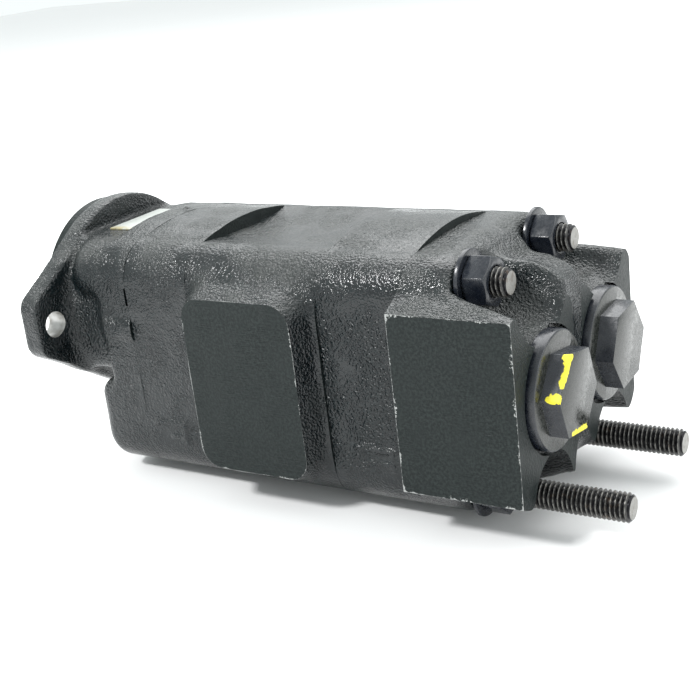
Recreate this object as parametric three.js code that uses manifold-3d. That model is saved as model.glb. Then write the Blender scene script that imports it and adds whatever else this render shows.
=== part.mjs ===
// Tandem external gear pump, modelled the way it comes apart on a bench.
// Millimetres. X runs from the mounting flange's face (X = 0) back to the port end cover,
// Z is up, and the input shaft's axis is the X axis. The blank side pads face -Y.

import * as THREE from "three";
import { mergeVertices } from "three/addons/utils/BufferGeometryUtils.js";
import Module from "manifold-3d";

const wasm = await Module();
wasm.setup();

// ---------------------------------------------------------------- driving dimensions
const INCH = 25.4;
const JOINT_GAP = 0.05;

// sides of the round solids: large bores, ordinary rounds and small holes
const LARGE = 32;
const SIDES = 24;
const SMALL = 12;
const TINY = 8;

// where the castings meet, along X
const COVER_BACK = 45.5;
const FRONT_BACK = 78;
const CARRIER_BACK = 140;
const REAR_BACK = 177;
const NUT_SEAT = 197;
const END_BACK = 225.5;

// cross-section of the castings
const CENTRES = 35;
const MIDDLE = -CENTRES / 2;
const HALF_WIDTH = 45;
const HALF_HEIGHT = 50.3;
const CORNER = 15.5;
const DOME = 3.6;

const FLANGE = {
  thickness: 9.5,
  round: 42.5,
  slope: THREE.MathUtils.degToRad(31.4),
  halfSpan: 63,
  corner: 8,
  holeSpacing: 106.4,
  holeRadius: 5.6,
};
const PILOT = { radius: 3.25 * INCH / 2, depth: 0.25 * INCH };
const NECK = { radius: 41, halfWidth: 41, bottom: -22, back: 28 };
const UPPER_BOSS = { front: 14, bottom: 11 };
const LOWER_BOSS = { front: 18, top: -28 };
const PLATE = { x: 23, length: 14, width: 34, seat: 32.2, thickness: 0.8 };

// side pads: [front, back] along X and [bottom, top] along Z
const PAD_FACE = 56;
const PAD_SPREAD = 5;
const CARRIER_PAD = { x: [83, 134.5], z: [-54.4, 17.7], corner: 9 };
const END_PAD = { x: [REAR_BACK, END_BACK], z: [-51.5, 17.9], corner: 2 };
const RIDGE = { halfWidth: 14, top: 22, bottom: -60, back: 221 };

// tie studs, 7/16-14, with SAE washers and plain nuts
const STUD = { y: 29.3, z: 40.8, radius: 7 / 16 * INCH / 2, start: 26, shortEnd: 214, longEnd: 255.5 };
const STUD_HOLE = { radius: 6, tappedRadius: 5.65, bottom: 24 };
const WASHER = { radius: 11.7, bore: 6, thickness: 1.65 };
const NUT = { acrossFlats: 11 / 16 * INCH, bore: 5.65, thickness: 3 / 8 * INCH };
const SCOOP = { seatRadius: 13, upperRadius: 19, lowerRadius: 17 };

// gears and the shafts that carry them
const GEAR = { teeth: 12, pressure: THREE.MathUtils.degToRad(25), addendum: 0.9, dedendum: 1.2, backlash: 0.25 };
const JOURNAL = 11;
const BUSH = { bore: 11.12, radius: 14, length: 20 };
const BUSH_POCKET = 21;
const THRUST = 4.4;
const CHAMBER_GAP = 0.15;
const INPUT = { radius: 5 / 8 * INCH / 2, front: -1.25 * INCH, shoulder: -8, sealRadius: 9.5, sealEnd: 14 };
const KEY = { side: 5 / 32 * INCH, length: 19, depth: 2 };
const COUPLER = { halfWidth: 5, length: 30, depth: 14 };
const SEAL = { radius: 16, lip: 9.55, front: -5, back: 3 };

// oil ways
const GALLERY = { y: 17.5, radius: 5 };
const INLET = { x: 109, radius: 20.2, floor: 30 };
const OUTLET = { x: 198, radius: 11.1, floor: 39 };
const CROSSING = { x: 211, radius: 5.5 };
const REAR_PORT = { y: 25.5, radius: 16.9, floor: 205, spotRadius: 24, spotFloor: 222.5 };
const PLUG = { thread: 16.6, nose: 209, collar: 22.5, collarBack: 228.3, acrossFlats: 30, back: 235.5 };
const PLUG_TURNS = [-9.5, 4];

// face seals and dowels between the castings
const FACE_SEAL = { radius: 24.5, width: 2.2, depth: 1.6, clearance: 0.15 };
const DOWEL = { radius: 3, length: 11.8, places: [[34, -8], [-34, -27]] };

// ---------------------------------------------------------------- solids
const UP_FROM_YZ = new THREE.Matrix4().makeBasis(
  new THREE.Vector3(0, 1, 0), new THREE.Vector3(0, 0, 1), new THREE.Vector3(1, 0, 0));

function solid(geometry) {
  const bare = geometry.clone();
  bare.deleteAttribute("normal");
  bare.deleteAttribute("uv");
  const merged = mergeVertices(bare, 1e-4);
  const mesh = new wasm.Mesh({
    numProp: 3,
    vertProperties: new Float32Array(merged.attributes.position.array),
    triVerts: new Uint32Array(merged.index.array),
  });
  return new wasm.Manifold(mesh);
}

function toGeometry(body) {
  const mesh = body.getMesh();
  const geometry = new THREE.BufferGeometry();
  geometry.setAttribute("position", new THREE.BufferAttribute(new Float32Array(mesh.vertProperties), 3));
  geometry.setIndex(new THREE.BufferAttribute(new Uint32Array(mesh.triVerts), 1));
  return geometry;
}

function joined(bodies) {
  return bodies.reduce((whole, body) => whole.add(body));
}

function cut(body, tools) {
  return tools.reduce((rest, tool) => rest.subtract(tool), body);
}

// a shape drawn in the YZ plane, run along X
function alongX(shape, from, to, curveSegments = 6) {
  const options = { depth: to - from, bevelEnabled: false, curveSegments };
  const geometry = new THREE.ExtrudeGeometry(shape, options);
  geometry.applyMatrix4(UP_FROM_YZ);
  geometry.translate(from, 0, 0);
  return geometry;
}

// a profile of [x, radius] points turned about a line parallel to X
function turned(profile, y = 0, z = 0, sides = SIDES) {
  const points = profile.map(([x, radius]) => new THREE.Vector2(radius, x));
  const geometry = new THREE.LatheGeometry(points, sides);
  geometry.rotateZ(-Math.PI / 2);
  geometry.translate(0, y, z);
  return geometry;
}

function rodX(from, to, radius, y = 0, z = 0, sides = SIDES) {
  return turned([[from, 0], [from, radius], [to, radius], [to, 0]], y, z, sides);
}

function coneX(from, to, fromRadius, toRadius, y, z) {
  return turned([[from, 0], [from, fromRadius], [to, toRadius], [to, 0]], y, z, 24);
}

function tubeX(from, to, inner, outer, y = 0, z = 0, sides = SIDES) {
  const profile = [[from, inner], [from, outer], [to, outer], [to, inner], [from, inner]];
  return turned(profile, y, z, sides);
}

function rodY(from, to, radius, x, z) {
  const geometry = new THREE.CylinderGeometry(radius, radius, to - from, SIDES);
  geometry.translate(x, (from + to) / 2, z);
  return geometry;
}

function block(x, y, z) {
  const geometry = new THREE.BoxGeometry(x[1] - x[0], y[1] - y[0], z[1] - z[0]);
  geometry.translate((x[0] + x[1]) / 2, (y[0] + y[1]) / 2, (z[0] + z[1]) / 2);
  return geometry;
}

// ---------------------------------------------------------------- outlines
function castingOutline(dome) {
  const y = HALF_WIDTH - CORNER;
  const rise = HALF_HEIGHT - CORNER;
  const shape = new THREE.Shape();
  shape.moveTo(HALF_WIDTH, MIDDLE - rise);
  shape.lineTo(HALF_WIDTH, MIDDLE + rise);
  shape.absarc(y, MIDDLE + rise, CORNER, 0, Math.PI / 2, false);
  shape.quadraticCurveTo(0, MIDDLE + HALF_HEIGHT + 2 * dome, -y, MIDDLE + HALF_HEIGHT);
  shape.absarc(-y, MIDDLE + rise, CORNER, Math.PI / 2, Math.PI, false);
  shape.lineTo(-HALF_WIDTH, MIDDLE - rise);
  shape.absarc(-y, MIDDLE - rise, CORNER, Math.PI, 1.5 * Math.PI, false);
  shape.quadraticCurveTo(0, MIDDLE - HALF_HEIGHT - 2 * dome, y, MIDDLE - HALF_HEIGHT);
  shape.absarc(y, MIDDLE - rise, CORNER, 1.5 * Math.PI, 2 * Math.PI, false);
  return shape;
}

// the two-bolt flange: a disc with a sloping ear on each side
function flangeOutline() {
  const { round, slope, halfSpan, corner } = FLANGE;
  const leaves = new THREE.Vector2(Math.sin(slope), Math.cos(slope)).multiplyScalar(round);
  const earTop = leaves.y - (halfSpan - leaves.x) * Math.tan(slope);
  const setback = corner * Math.tan((Math.PI / 2 - slope) / 2);
  const arcZ = earTop - setback;
  const arcY = halfSpan - corner;
  const shape = new THREE.Shape();
  shape.moveTo(halfSpan, -arcZ);
  shape.absarc(arcY, arcZ, corner, 0, Math.PI / 2 - slope, false);
  shape.absarc(0, 0, round, Math.PI / 2 - slope, Math.PI / 2 + slope, false);
  shape.absarc(-arcY, arcZ, corner, Math.PI / 2 + slope, Math.PI, false);
  shape.absarc(-arcY, -arcZ, corner, Math.PI, 1.5 * Math.PI - slope, false);
  shape.absarc(0, 0, round, 1.5 * Math.PI - slope, 1.5 * Math.PI + slope, false);
  shape.absarc(arcY, -arcZ, corner, 1.5 * Math.PI + slope, 2 * Math.PI, false);
  return shape;
}

function hexOutline(acrossFlats, turn = 0) {
  const corner = acrossFlats / Math.sqrt(3);
  const points = [];
  for (let i = 0; i < 6; i += 1) {
    const angle = turn + i * Math.PI / 3;
    points.push(new THREE.Vector2(corner * Math.cos(angle), corner * Math.sin(angle)));
  }
  return new THREE.Shape(points);
}

// two half circles about the gear centres, joined by straight sides
function stadiumPoints(radius, steps = 12) {
  const points = [];
  for (let end = 0; end < 2; end += 1) {
    for (let i = 0; i <= steps; i += 1) {
      const angle = end * Math.PI + i * Math.PI / steps;
      points.push(new THREE.Vector2(radius * Math.cos(angle), radius * Math.sin(angle) - end * CENTRES));
    }
  }
  return points;
}

function stadiumRing(inner, outer) {
  const shape = new THREE.Shape(stadiumPoints(outer));
  shape.holes.push(new THREE.Path(stadiumPoints(inner)));
  return shape;
}

function roundedRing(x, z, corner, spread) {
  const ring = [];
  const centres = [[x[1], z[1]], [x[0], z[1]], [x[0], z[0]], [x[1], z[0]]];
  const signs = [[-1, -1], [1, -1], [1, 1], [-1, 1]];
  const steps = 3;
  for (let quarter = 0; quarter < 4; quarter += 1) {
    for (let i = 0; i <= steps; i += 1) {
      const angle = (quarter + i / steps) * Math.PI / 2;
      const reach = corner + spread;
      ring.push([
        centres[quarter][0] + signs[quarter][0] * corner + reach * Math.cos(angle),
        centres[quarter][1] + signs[quarter][1] * corner + reach * Math.sin(angle),
      ]);
    }
  }
  return ring;
}

// a pad with sloping sides that runs from the body wall out to its machined face
function padBoss(pad, side) {
  const wall = side * (HALF_WIDTH - 3);
  const face = side * PAD_FACE;
  const base = roundedRing(pad.x, pad.z, pad.corner, PAD_SPREAD).map(([x, z]) => [x, wall, z]);
  const top = roundedRing(pad.x, pad.z, pad.corner, 0).map(([x, z]) => [x, face, z]);
  const count = base.length;
  const triangles = [];
  for (let i = 0; i < count; i += 1) {
    const next = (i + 1) % count;
    triangles.push([i, next, count + next], [i, count + next, count + i]);
  }
  for (let i = 1; i < count - 1; i += 1) {
    triangles.push([0, i + 1, i], [count, count + i, count + i + 1]);
  }
  if (side > 0) {
    triangles.forEach((triangle) => triangle.reverse());
  }
  const geometry = new THREE.BufferGeometry();
  geometry.setAttribute("position", new THREE.Float32BufferAttribute([...base, ...top].flat(), 3));
  geometry.setIndex(triangles.flat());
  return geometry;
}

// ---------------------------------------------------------------- features that several castings share
const studPlaces = [];
for (const [row, z] of [["upper", MIDDLE + STUD.z], ["lower", MIDDLE - STUD.z]]) {
  for (const [side, y] of [["near", -STUD.y], ["far", STUD.y]]) {
    studPlaces.push({ name: `${row}_${side}`, row, y, z });
  }
}

function studHoles(from, to, radius = STUD_HOLE.radius) {
  return studPlaces.map(({ y, z }) => solid(rodX(from, to, radius, y, z, SMALL)));
}

function dowelHoles(seam, side) {
  const depth = DOWEL.length / 2 + 0.2;
  const [from, to] = side < 0 ? [seam - depth, seam + 1] : [seam - 1, seam + depth];
  return DOWEL.places.map(([y, z]) => solid(rodX(from, to, DOWEL.radius + JOINT_GAP, y, z, TINY)));
}

function bushPockets(from, to) {
  return [0, -CENTRES].map((z) => solid(rodX(from, to, BUSH.radius + JOINT_GAP, 0, z)));
}

function sealGroove(seam, side) {
  const half = FACE_SEAL.width / 2 + FACE_SEAL.clearance;
  const floor = seam + side * (FACE_SEAL.depth + 0.1);
  const mouth = seam - side;
  const shape = stadiumRing(FACE_SEAL.radius - half, FACE_SEAL.radius + half);
  return solid(alongX(shape, Math.min(floor, mouth), Math.max(floor, mouth)));
}

function gallery(side, from, to) {
  return solid(rodX(from, to, GALLERY.radius, side * GALLERY.y, MIDDLE, SMALL));
}

// ---------------------------------------------------------------- castings
function shaftEndCover() {
  const back = COVER_BACK - JOINT_GAP;
  const outline = castingOutline(DOME);
  const whole = solid(alongX(outline, UPPER_BOSS.front, back));
  const upper = whole.intersect(solid(block([0, back], [-80, 80], [UPPER_BOSS.bottom, 80])));
  const lower = whole.intersect(solid(block([LOWER_BOSS.front, back], [-80, 80], [-120, LOWER_BOSS.top])));
  const neckSide = block([1, NECK.back + 1], [-NECK.halfWidth, NECK.halfWidth], [NECK.bottom, 0]);
  const body = joined([
    solid(alongX(flangeOutline(), 0, FLANGE.thickness)),
    solid(rodX(-PILOT.depth, 1, PILOT.radius, 0, 0, LARGE)),
    solid(rodX(1, NECK.back + 1, NECK.radius, 0, 0, LARGE)),
    solid(neckSide),
    solid(alongX(outline, NECK.back, back)),
    upper,
    lower,
  ]);
  const platePocket = block([UPPER_BOSS.front - 1, PLATE.x + PLATE.length / 2 + 1],
    [-PLATE.width / 2 - 1, PLATE.width / 2 + 1], [PLATE.seat, 80]);
  const boltHoles = [-1, 1].map((side) =>
    solid(rodX(-1, FLANGE.thickness + 1, FLANGE.holeRadius, side * FLANGE.holeSpacing / 2, 0, SMALL)));
  return cut(body, [
    ...boltHoles,
    ...studHoles(STUD_HOLE.bottom, COVER_BACK + 1, STUD_HOLE.tappedRadius),
    ...bushPockets(COVER_BACK - BUSH_POCKET, COVER_BACK + 1),
    ...dowelHoles(COVER_BACK, -1),
    solid(platePocket),
    solid(rodX(-PILOT.depth - 1, SEAL.back + JOINT_GAP, SEAL.radius + JOINT_GAP)),
    solid(rodX(0, COVER_BACK, JOURNAL + 0.6)),
  ]);
}

// the gear chamber is two overlapping bores with a pocket on each side of the mesh
function gearHousing(front, back) {
  const chamberRadius = tipRadius() + CHAMBER_GAP;
  const body = solid(alongX(castingOutline(DOME), front, back - JOINT_GAP));
  const bores = [0, -CENTRES].map((z) => solid(rodX(front - 1, back + 1, chamberRadius, 0, z, LARGE)));
  const pocket = block([front - 1, back + 1], [-GALLERY.y, GALLERY.y], [MIDDLE - 4, MIDDLE + 4]);
  return cut(body, [
    ...bores,
    solid(pocket),
    gallery(-1, front - 1, back + 1),
    gallery(1, front - 1, back + 1),
    sealGroove(front, 1),
    sealGroove(back - JOINT_GAP, -1),
    ...dowelHoles(front, 1),
    ...dowelHoles(back, -1),
    ...studHoles(front - 1, back + 1),
  ]);
}

function bearingCarrier() {
  const [front, back] = [FRONT_BACK, CARRIER_BACK];
  const body = joined([
    solid(alongX(castingOutline(0), front, back - JOINT_GAP)),
    solid(padBoss(CARRIER_PAD, -1)),
    solid(padBoss(CARRIER_PAD, 1)),
  ]);
  const trimmed = body.intersect(solid(block([front, back - JOINT_GAP], [-80, 80], [-120, 80])));
  return cut(trimmed, [
    ...bushPockets(front - 1, front + BUSH_POCKET),
    ...bushPockets(back - BUSH_POCKET, back + 1),
    solid(rodX(front, back, JOURNAL + 0.6)),
    gallery(-1, front - 1, back + 1),
    gallery(1, front - 1, back + 1),
    solid(rodY(INLET.floor, PAD_FACE + 1, INLET.radius, INLET.x, MIDDLE)),
    solid(rodY(GALLERY.y, INLET.floor + 1, INLET.radius / 2, INLET.x, MIDDLE)),
    ...dowelHoles(front, 1),
    ...dowelHoles(back, -1),
    ...studHoles(front - 1, back + 1),
  ]);
}

function portEndCover() {
  const front = REAR_BACK;
  const ridge = block([front, RIDGE.back], [-RIDGE.halfWidth, RIDGE.halfWidth], [RIDGE.bottom, RIDGE.top]);
  const sides = block([front, END_BACK], [1 - HALF_WIDTH, HALF_WIDTH - 1], END_PAD.z);
  const body = joined([
    solid(alongX(castingOutline(0), front, NUT_SEAT)),
    solid(ridge),
    solid(sides),
    solid(padBoss(END_PAD, -1)),
    solid(padBoss(END_PAD, 1)),
  ]);
  const trimmed = body.intersect(solid(block([front, END_BACK], [-80, 80], [-120, 80])));
  const scoops = studPlaces.map(({ row, y, z }) => {
    const wide = row === "upper" ? SCOOP.upperRadius : SCOOP.lowerRadius;
    return solid(coneX(NUT_SEAT, END_BACK + 1, SCOOP.seatRadius, wide, y, z));
  });
  const rearPorts = [-REAR_PORT.y, REAR_PORT.y].flatMap((y) => [
    solid(rodX(REAR_PORT.floor, END_BACK + 1, REAR_PORT.radius, y, MIDDLE)),
    solid(rodX(REAR_PORT.spotFloor, END_BACK + 1, REAR_PORT.spotRadius, y, MIDDLE)),
  ]);
  return cut(trimmed, [
    ...scoops,
    ...rearPorts,
    ...bushPockets(front - 1, front + BUSH_POCKET),
    gallery(-1, front - 1, REAR_PORT.floor + 1),
    solid(rodY(-REAR_PORT.y, REAR_PORT.y, CROSSING.radius, CROSSING.x, MIDDLE)),
    solid(rodY(OUTLET.floor, PAD_FACE + 1, OUTLET.radius, OUTLET.x, MIDDLE)),
    solid(rodY(REAR_PORT.y, OUTLET.floor + 1, CROSSING.radius, OUTLET.x + CROSSING.radius, MIDDLE)),
    ...dowelHoles(front, 1),
    ...studHoles(front - 1, END_BACK),
  ]);
}

// ---------------------------------------------------------------- gears and shafts
function moduleSize() {
  return CENTRES / GEAR.teeth;
}

function tipRadius() {
  return CENTRES / 2 + GEAR.addendum * moduleSize();
}

// involute teeth; turn is the angle of the first tooth's centre line
function gearOutline(turn) {
  const pitch = CENTRES / 2;
  const base = pitch * Math.cos(GEAR.pressure);
  const root = pitch - GEAR.dedendum * moduleSize();
  const tip = tipRadius();
  const involute = (angle) => Math.tan(angle) - angle;
  const halfTooth = Math.PI / (2 * GEAR.teeth) - GEAR.backlash / (2 * pitch);
  const flankAngle = (radius) => {
    const pressureHere = Math.acos(Math.min(1, base / radius));
    return halfTooth + involute(GEAR.pressure) - involute(pressureHere);
  };
  const radii = [base, pitch, tip];
  const points = [];
  for (let tooth = 0; tooth < GEAR.teeth; tooth += 1) {
    const centre = turn + tooth * 2 * Math.PI / GEAR.teeth;
    const place = (radius, angle) => {
      points.push(new THREE.Vector2(radius * Math.cos(centre + angle), radius * Math.sin(centre + angle)));
    };
    place(root, -flankAngle(base) - 0.02);
    radii.forEach((radius) => place(radius, -flankAngle(radius)));
    radii.toReversed().forEach((radius) => place(radius, flankAngle(radius)));
    place(root, flankAngle(base) + 0.02);
  }
  return new THREE.Shape(points);
}

function gearSpan(front, back) {
  return [front + THRUST + 2 * JOINT_GAP, back - THRUST - 3 * JOINT_GAP];
}

// a gear between two journals, about the axis at height 0
function gearOnJournals(span, from, to, toothAngle) {
  return joined([solid(alongX(gearOutline(toothAngle), ...span)), solid(rodX(from, to, JOURNAL))]);
}

// the square drive between the two shafts: half its length in each of them
function couplerSocket(from, to) {
  const half = COUPLER.halfWidth + JOINT_GAP;
  return solid(block([from, to], [-half, half], [-half, half]));
}

function inputShaft() {
  const gearFace = gearSpan(COVER_BACK, FRONT_BACK);
  const shaftBack = FRONT_BACK + BUSH.length;
  const chamfer = 1;
  const nose = turned([
    [INPUT.front, 0],
    [INPUT.front, INPUT.radius - chamfer],
    [INPUT.front + chamfer, INPUT.radius],
    [INPUT.shoulder, INPUT.radius],
    [INPUT.shoulder + chamfer, INPUT.sealRadius],
    [INPUT.sealEnd, INPUT.sealRadius],
    [INPUT.sealEnd + 2, JOURNAL],
    [INPUT.sealEnd + 10, JOURNAL],
    [INPUT.sealEnd + 10, 0],
  ]);
  const half = KEY.side / 2 + JOINT_GAP;
  const keyFloor = INPUT.radius - KEY.depth;
  const keyway = block([INPUT.front - 1, INPUT.front + KEY.length], [-half, half], [keyFloor, INPUT.radius + 5]);
  return gearOnJournals(gearFace, INPUT.sealEnd + 9, shaftBack, -Math.PI / 2)
    .add(solid(nose))
    .subtract(solid(keyway))
    .subtract(couplerSocket(shaftBack - COUPLER.depth, shaftBack + 1));
}

function rearDriveGear() {
  const from = CARRIER_BACK - BUSH.length;
  return gearOnJournals(gearSpan(CARRIER_BACK, REAR_BACK), from, REAR_BACK + BUSH.length, -Math.PI / 2)
    .subtract(couplerSocket(from - 1, from + COUPLER.depth));
}

// a gap, and not a tooth, of the lower gear faces the upper one
function drivenGear(front, back) {
  const toothAngle = Math.PI / 2 + Math.PI / GEAR.teeth;
  return gearOnJournals(gearSpan(front, back), front - BUSH.length + 0.5, back + BUSH.length - 0.5, toothAngle);
}

function connectingShaft() {
  const from = FRONT_BACK + BUSH.length - COUPLER.depth + 0.5;
  const to = CARRIER_BACK - BUSH.length + COUPLER.depth - 0.5;
  const half = COUPLER.halfWidth;
  const waist = solid(rodX(from, to, half * 1.25));
  return waist.intersect(solid(block([from, to], [-half, half], [-half, half])));
}

function shaftKey() {
  const bottom = INPUT.radius - KEY.depth + JOINT_GAP;
  const half = KEY.side / 2;
  return block([INPUT.front + 1, INPUT.front + KEY.length - 1], [-half, half], [bottom, bottom + KEY.side]);
}

function thrustPlate(from) {
  const radius = tipRadius() + CHAMBER_GAP / 2;
  const rounds = [0, -CENTRES].map((z) => solid(rodX(from, from + THRUST, radius, 0, z, LARGE)));
  const bores = [0, -CENTRES].map((z) => solid(rodX(from - 1, from + THRUST + 1, JOURNAL + 0.2, 0, z)));
  return cut(joined(rounds), bores);
}

// ---------------------------------------------------------------- hardware
function tieStud({ row, y, z }) {
  const end = row === "upper" ? STUD.shortEnd : STUD.longEnd;
  const chamfer = 1.2;
  return turned([
    [STUD.start, 0],
    [STUD.start, STUD.radius - chamfer],
    [STUD.start + chamfer, STUD.radius],
    [end - chamfer, STUD.radius],
    [end, STUD.radius - chamfer],
    [end, 0],
  ], y, z, SMALL);
}

function chamferedHex(acrossFlats, from, to, turn) {
  const corner = acrossFlats / Math.sqrt(3);
  const chamfer = corner - acrossFlats / 2 * 0.96;
  const crown = turned([
    [from, 0],
    [from, corner + 0.1],
    [to - chamfer * 0.5, corner + 0.1],
    [to, corner - chamfer],
    [to, 0],
  ]);
  return solid(alongX(hexOutline(acrossFlats, turn), from, to)).intersect(solid(crown));
}

function tieNut({ y, z }, turn) {
  const from = NUT_SEAT + WASHER.thickness + 2 * JOINT_GAP;
  return chamferedHex(NUT.acrossFlats, from, from + NUT.thickness, turn)
    .subtract(solid(rodX(from - 1, from + NUT.thickness + 1, NUT.bore, 0, 0, SMALL)))
    .translate([0, y, z]);
}

function tieWasher({ y, z }) {
  const from = NUT_SEAT + JOINT_GAP;
  return tubeX(from, from + WASHER.thickness, WASHER.bore, WASHER.radius, y, z, 24);
}

function portPlug(y, turn) {
  const seat = REAR_PORT.spotFloor + JOINT_GAP;
  const neck = 3;
  const profile = [
    [PLUG.nose, 0],
    [PLUG.nose, PLUG.thread - 1.5],
    [PLUG.nose + 1.5, PLUG.thread],
    [seat - neck, PLUG.thread],
    [seat - neck, PLUG.thread - 2.4],
    [seat, PLUG.thread - 2.4],
    [seat, PLUG.collar],
    [PLUG.collarBack - 0.8, PLUG.collar],
    [PLUG.collarBack, PLUG.collar - 0.8],
    [PLUG.collarBack, 0],
  ];
  const head = chamferedHex(PLUG.acrossFlats, PLUG.collarBack - 1, PLUG.back, THREE.MathUtils.degToRad(turn));
  return solid(turned(profile)).add(head).translate([0, y, MIDDLE]);
}

// a round ring: the circle of its section is turned about X
function roundRing(x, inner, thickness, y, z) {
  const half = thickness / 2;
  const profile = [];
  for (let i = 0; i <= 6; i += 1) {
    const angle = -i * Math.PI / 3;
    profile.push([x + half * Math.cos(angle), inner + half + half * Math.sin(angle)]);
  }
  return turned(profile, y, z, 24);
}

function plugRing(y) {
  const middle = REAR_PORT.spotFloor - 1.45;
  return roundRing(middle, PLUG.thread - 2.3, 2.1, y, MIDDLE);
}

function faceSeal(seam, side) {
  const half = FACE_SEAL.width / 2;
  const shape = stadiumRing(FACE_SEAL.radius - half, FACE_SEAL.radius + half);
  const edge = seam + side * FACE_SEAL.depth;
  return alongX(shape, Math.min(seam, edge), Math.max(seam, edge));
}

function shaftSeal() {
  return turned([
    [SEAL.front, SEAL.lip + 2.5],
    [SEAL.front, SEAL.radius],
    [SEAL.back, SEAL.radius],
    [SEAL.back, SEAL.radius - 2],
    [SEAL.front + 3, SEAL.radius - 2],
    [SEAL.back - 1, SEAL.lip + 1.2],
    [SEAL.back - 2, SEAL.lip],
    [SEAL.front, SEAL.lip + 2.5],
  ]);
}

// ---------------------------------------------------------------- the assembly
const group = new THREE.Group();
group.name = "gear_pump";

const finishes = {
  casting: { color: 0x16181b, roughness: 0.45, metalness: 0.1 },
  blackSteel: { color: 0x101113, roughness: 0.3, metalness: 0.4 },
  studSteel: { color: 0x4a4a4c, roughness: 0.35, metalness: 0.9 },
  gearSteel: { color: 0x9a9da1, roughness: 0.3, metalness: 1 },
  bronze: { color: 0xa87a3c, roughness: 0.4, metalness: 1 },
  rubber: { color: 0x111111, roughness: 0.85, metalness: 0 },
  plate: { color: 0xd8dad6, roughness: 0.5, metalness: 0.1 },
};

function place(name, shape, finish) {
  const geometry = shape instanceof wasm.Manifold ? toGeometry(shape) : shape;
  const mesh = new THREE.Mesh(geometry, new THREE.MeshStandardMaterial(finishes[finish]));
  mesh.name = name;
  group.add(mesh);
  return mesh;
}

function addCastings() {
  place("shaft_end_cover", shaftEndCover(), "casting");
  place("front_gear_housing", gearHousing(COVER_BACK, FRONT_BACK), "casting");
  place("bearing_carrier", bearingCarrier(), "casting");
  place("rear_gear_housing", gearHousing(CARRIER_BACK, REAR_BACK), "casting");
  place("port_end_cover", portEndCover(), "casting");
}

function addRotatingPieces() {
  place("front_drive_gear", inputShaft(), "gearSteel");
  place("connecting_shaft", connectingShaft(), "gearSteel");
  place("rear_drive_gear", rearDriveGear(), "gearSteel");
  place("shaft_key", shaftKey(), "gearSteel");
  place("front_driven_gear", drivenGear(COVER_BACK, FRONT_BACK), "gearSteel").position.z = -CENTRES;
  place("rear_driven_gear", drivenGear(CARRIER_BACK, REAR_BACK), "gearSteel").position.z = -CENTRES;
}

function addBearings() {
  const starts = {
    cover: COVER_BACK - BUSH.length - JOINT_GAP,
    carrier_front: FRONT_BACK + JOINT_GAP,
    carrier_rear: CARRIER_BACK - BUSH.length - JOINT_GAP,
    end: REAR_BACK + JOINT_GAP,
  };
  for (const [where, from] of Object.entries(starts)) {
    for (const [shaft, z] of [["drive", 0], ["driven", -CENTRES]]) {
      place(`${where}_${shaft}_bush`, tubeX(from, from + BUSH.length - 2 * JOINT_GAP, BUSH.bore, BUSH.radius, 0, z),
        "bronze");
    }
  }
  for (const [where, front, back] of [["front", COVER_BACK, FRONT_BACK], ["rear", CARRIER_BACK, REAR_BACK]]) {
    place(`${where}_section_front_thrust_plate`, thrustPlate(front + JOINT_GAP), "bronze");
    place(`${where}_section_rear_thrust_plate`, thrustPlate(back - THRUST - 2 * JOINT_GAP), "bronze");
  }
}

function addSealsAndDowels() {
  const seams = { cover: COVER_BACK, carrier_front: FRONT_BACK, carrier_rear: CARRIER_BACK, end: REAR_BACK };
  for (const [where, seam] of Object.entries(seams)) {
    const housingSide = where === "cover" || where === "carrier_rear" ? 1 : -1;
    const face = housingSide > 0 ? seam : seam - JOINT_GAP;
    place(`${where}_face_seal`, faceSeal(face, housingSide), "rubber");
    DOWEL.places.forEach(([y, z], i) => {
      const half = DOWEL.length / 2;
      place(`${where}_dowel_${i + 1}`, rodX(seam - half, seam + half, DOWEL.radius, y, z, TINY), "gearSteel");
    });
  }
  place("shaft_seal", shaftSeal(), "rubber");
}

function addHardware() {
  studPlaces.forEach((spot, i) => {
    place(`${spot.name}_stud`, tieStud(spot), "studSteel");
    place(`${spot.name}_washer`, tieWasher(spot), "blackSteel");
    place(`${spot.name}_nut`, tieNut(spot, 0.35 + 0.2 * i), "blackSteel");
  });
  for (const [i, [side, y]] of [["near", -REAR_PORT.y], ["far", REAR_PORT.y]].entries()) {
    place(`${side}_port_plug`, portPlug(y, PLUG_TURNS[i]), "blackSteel");
    place(`${side}_plug_o_ring`, plugRing(y), "rubber");
  }
  const top = PLATE.seat + JOINT_GAP;
  const plate = block([PLATE.x - PLATE.length / 2, PLATE.x + PLATE.length / 2],
    [-PLATE.width / 2, PLATE.width / 2], [top, top + PLATE.thickness]);
  place("name_plate", plate, "plate");
}

addCastings();
addRotatingPieces();
addBearings();
addSealsAndDowels();
addHardware();

export default group;
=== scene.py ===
"""Looks of the tandem gear pump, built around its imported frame.

Shapes are worked out in millimetres, in the frame's own axes: X runs from the mounting flange to the
port end cover, Z is up, and the input shaft's axis is the X axis. Meshes are stored in metres.
"""
import math

import bpy
import numpy as np
from mathutils import Matrix, Vector


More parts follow.
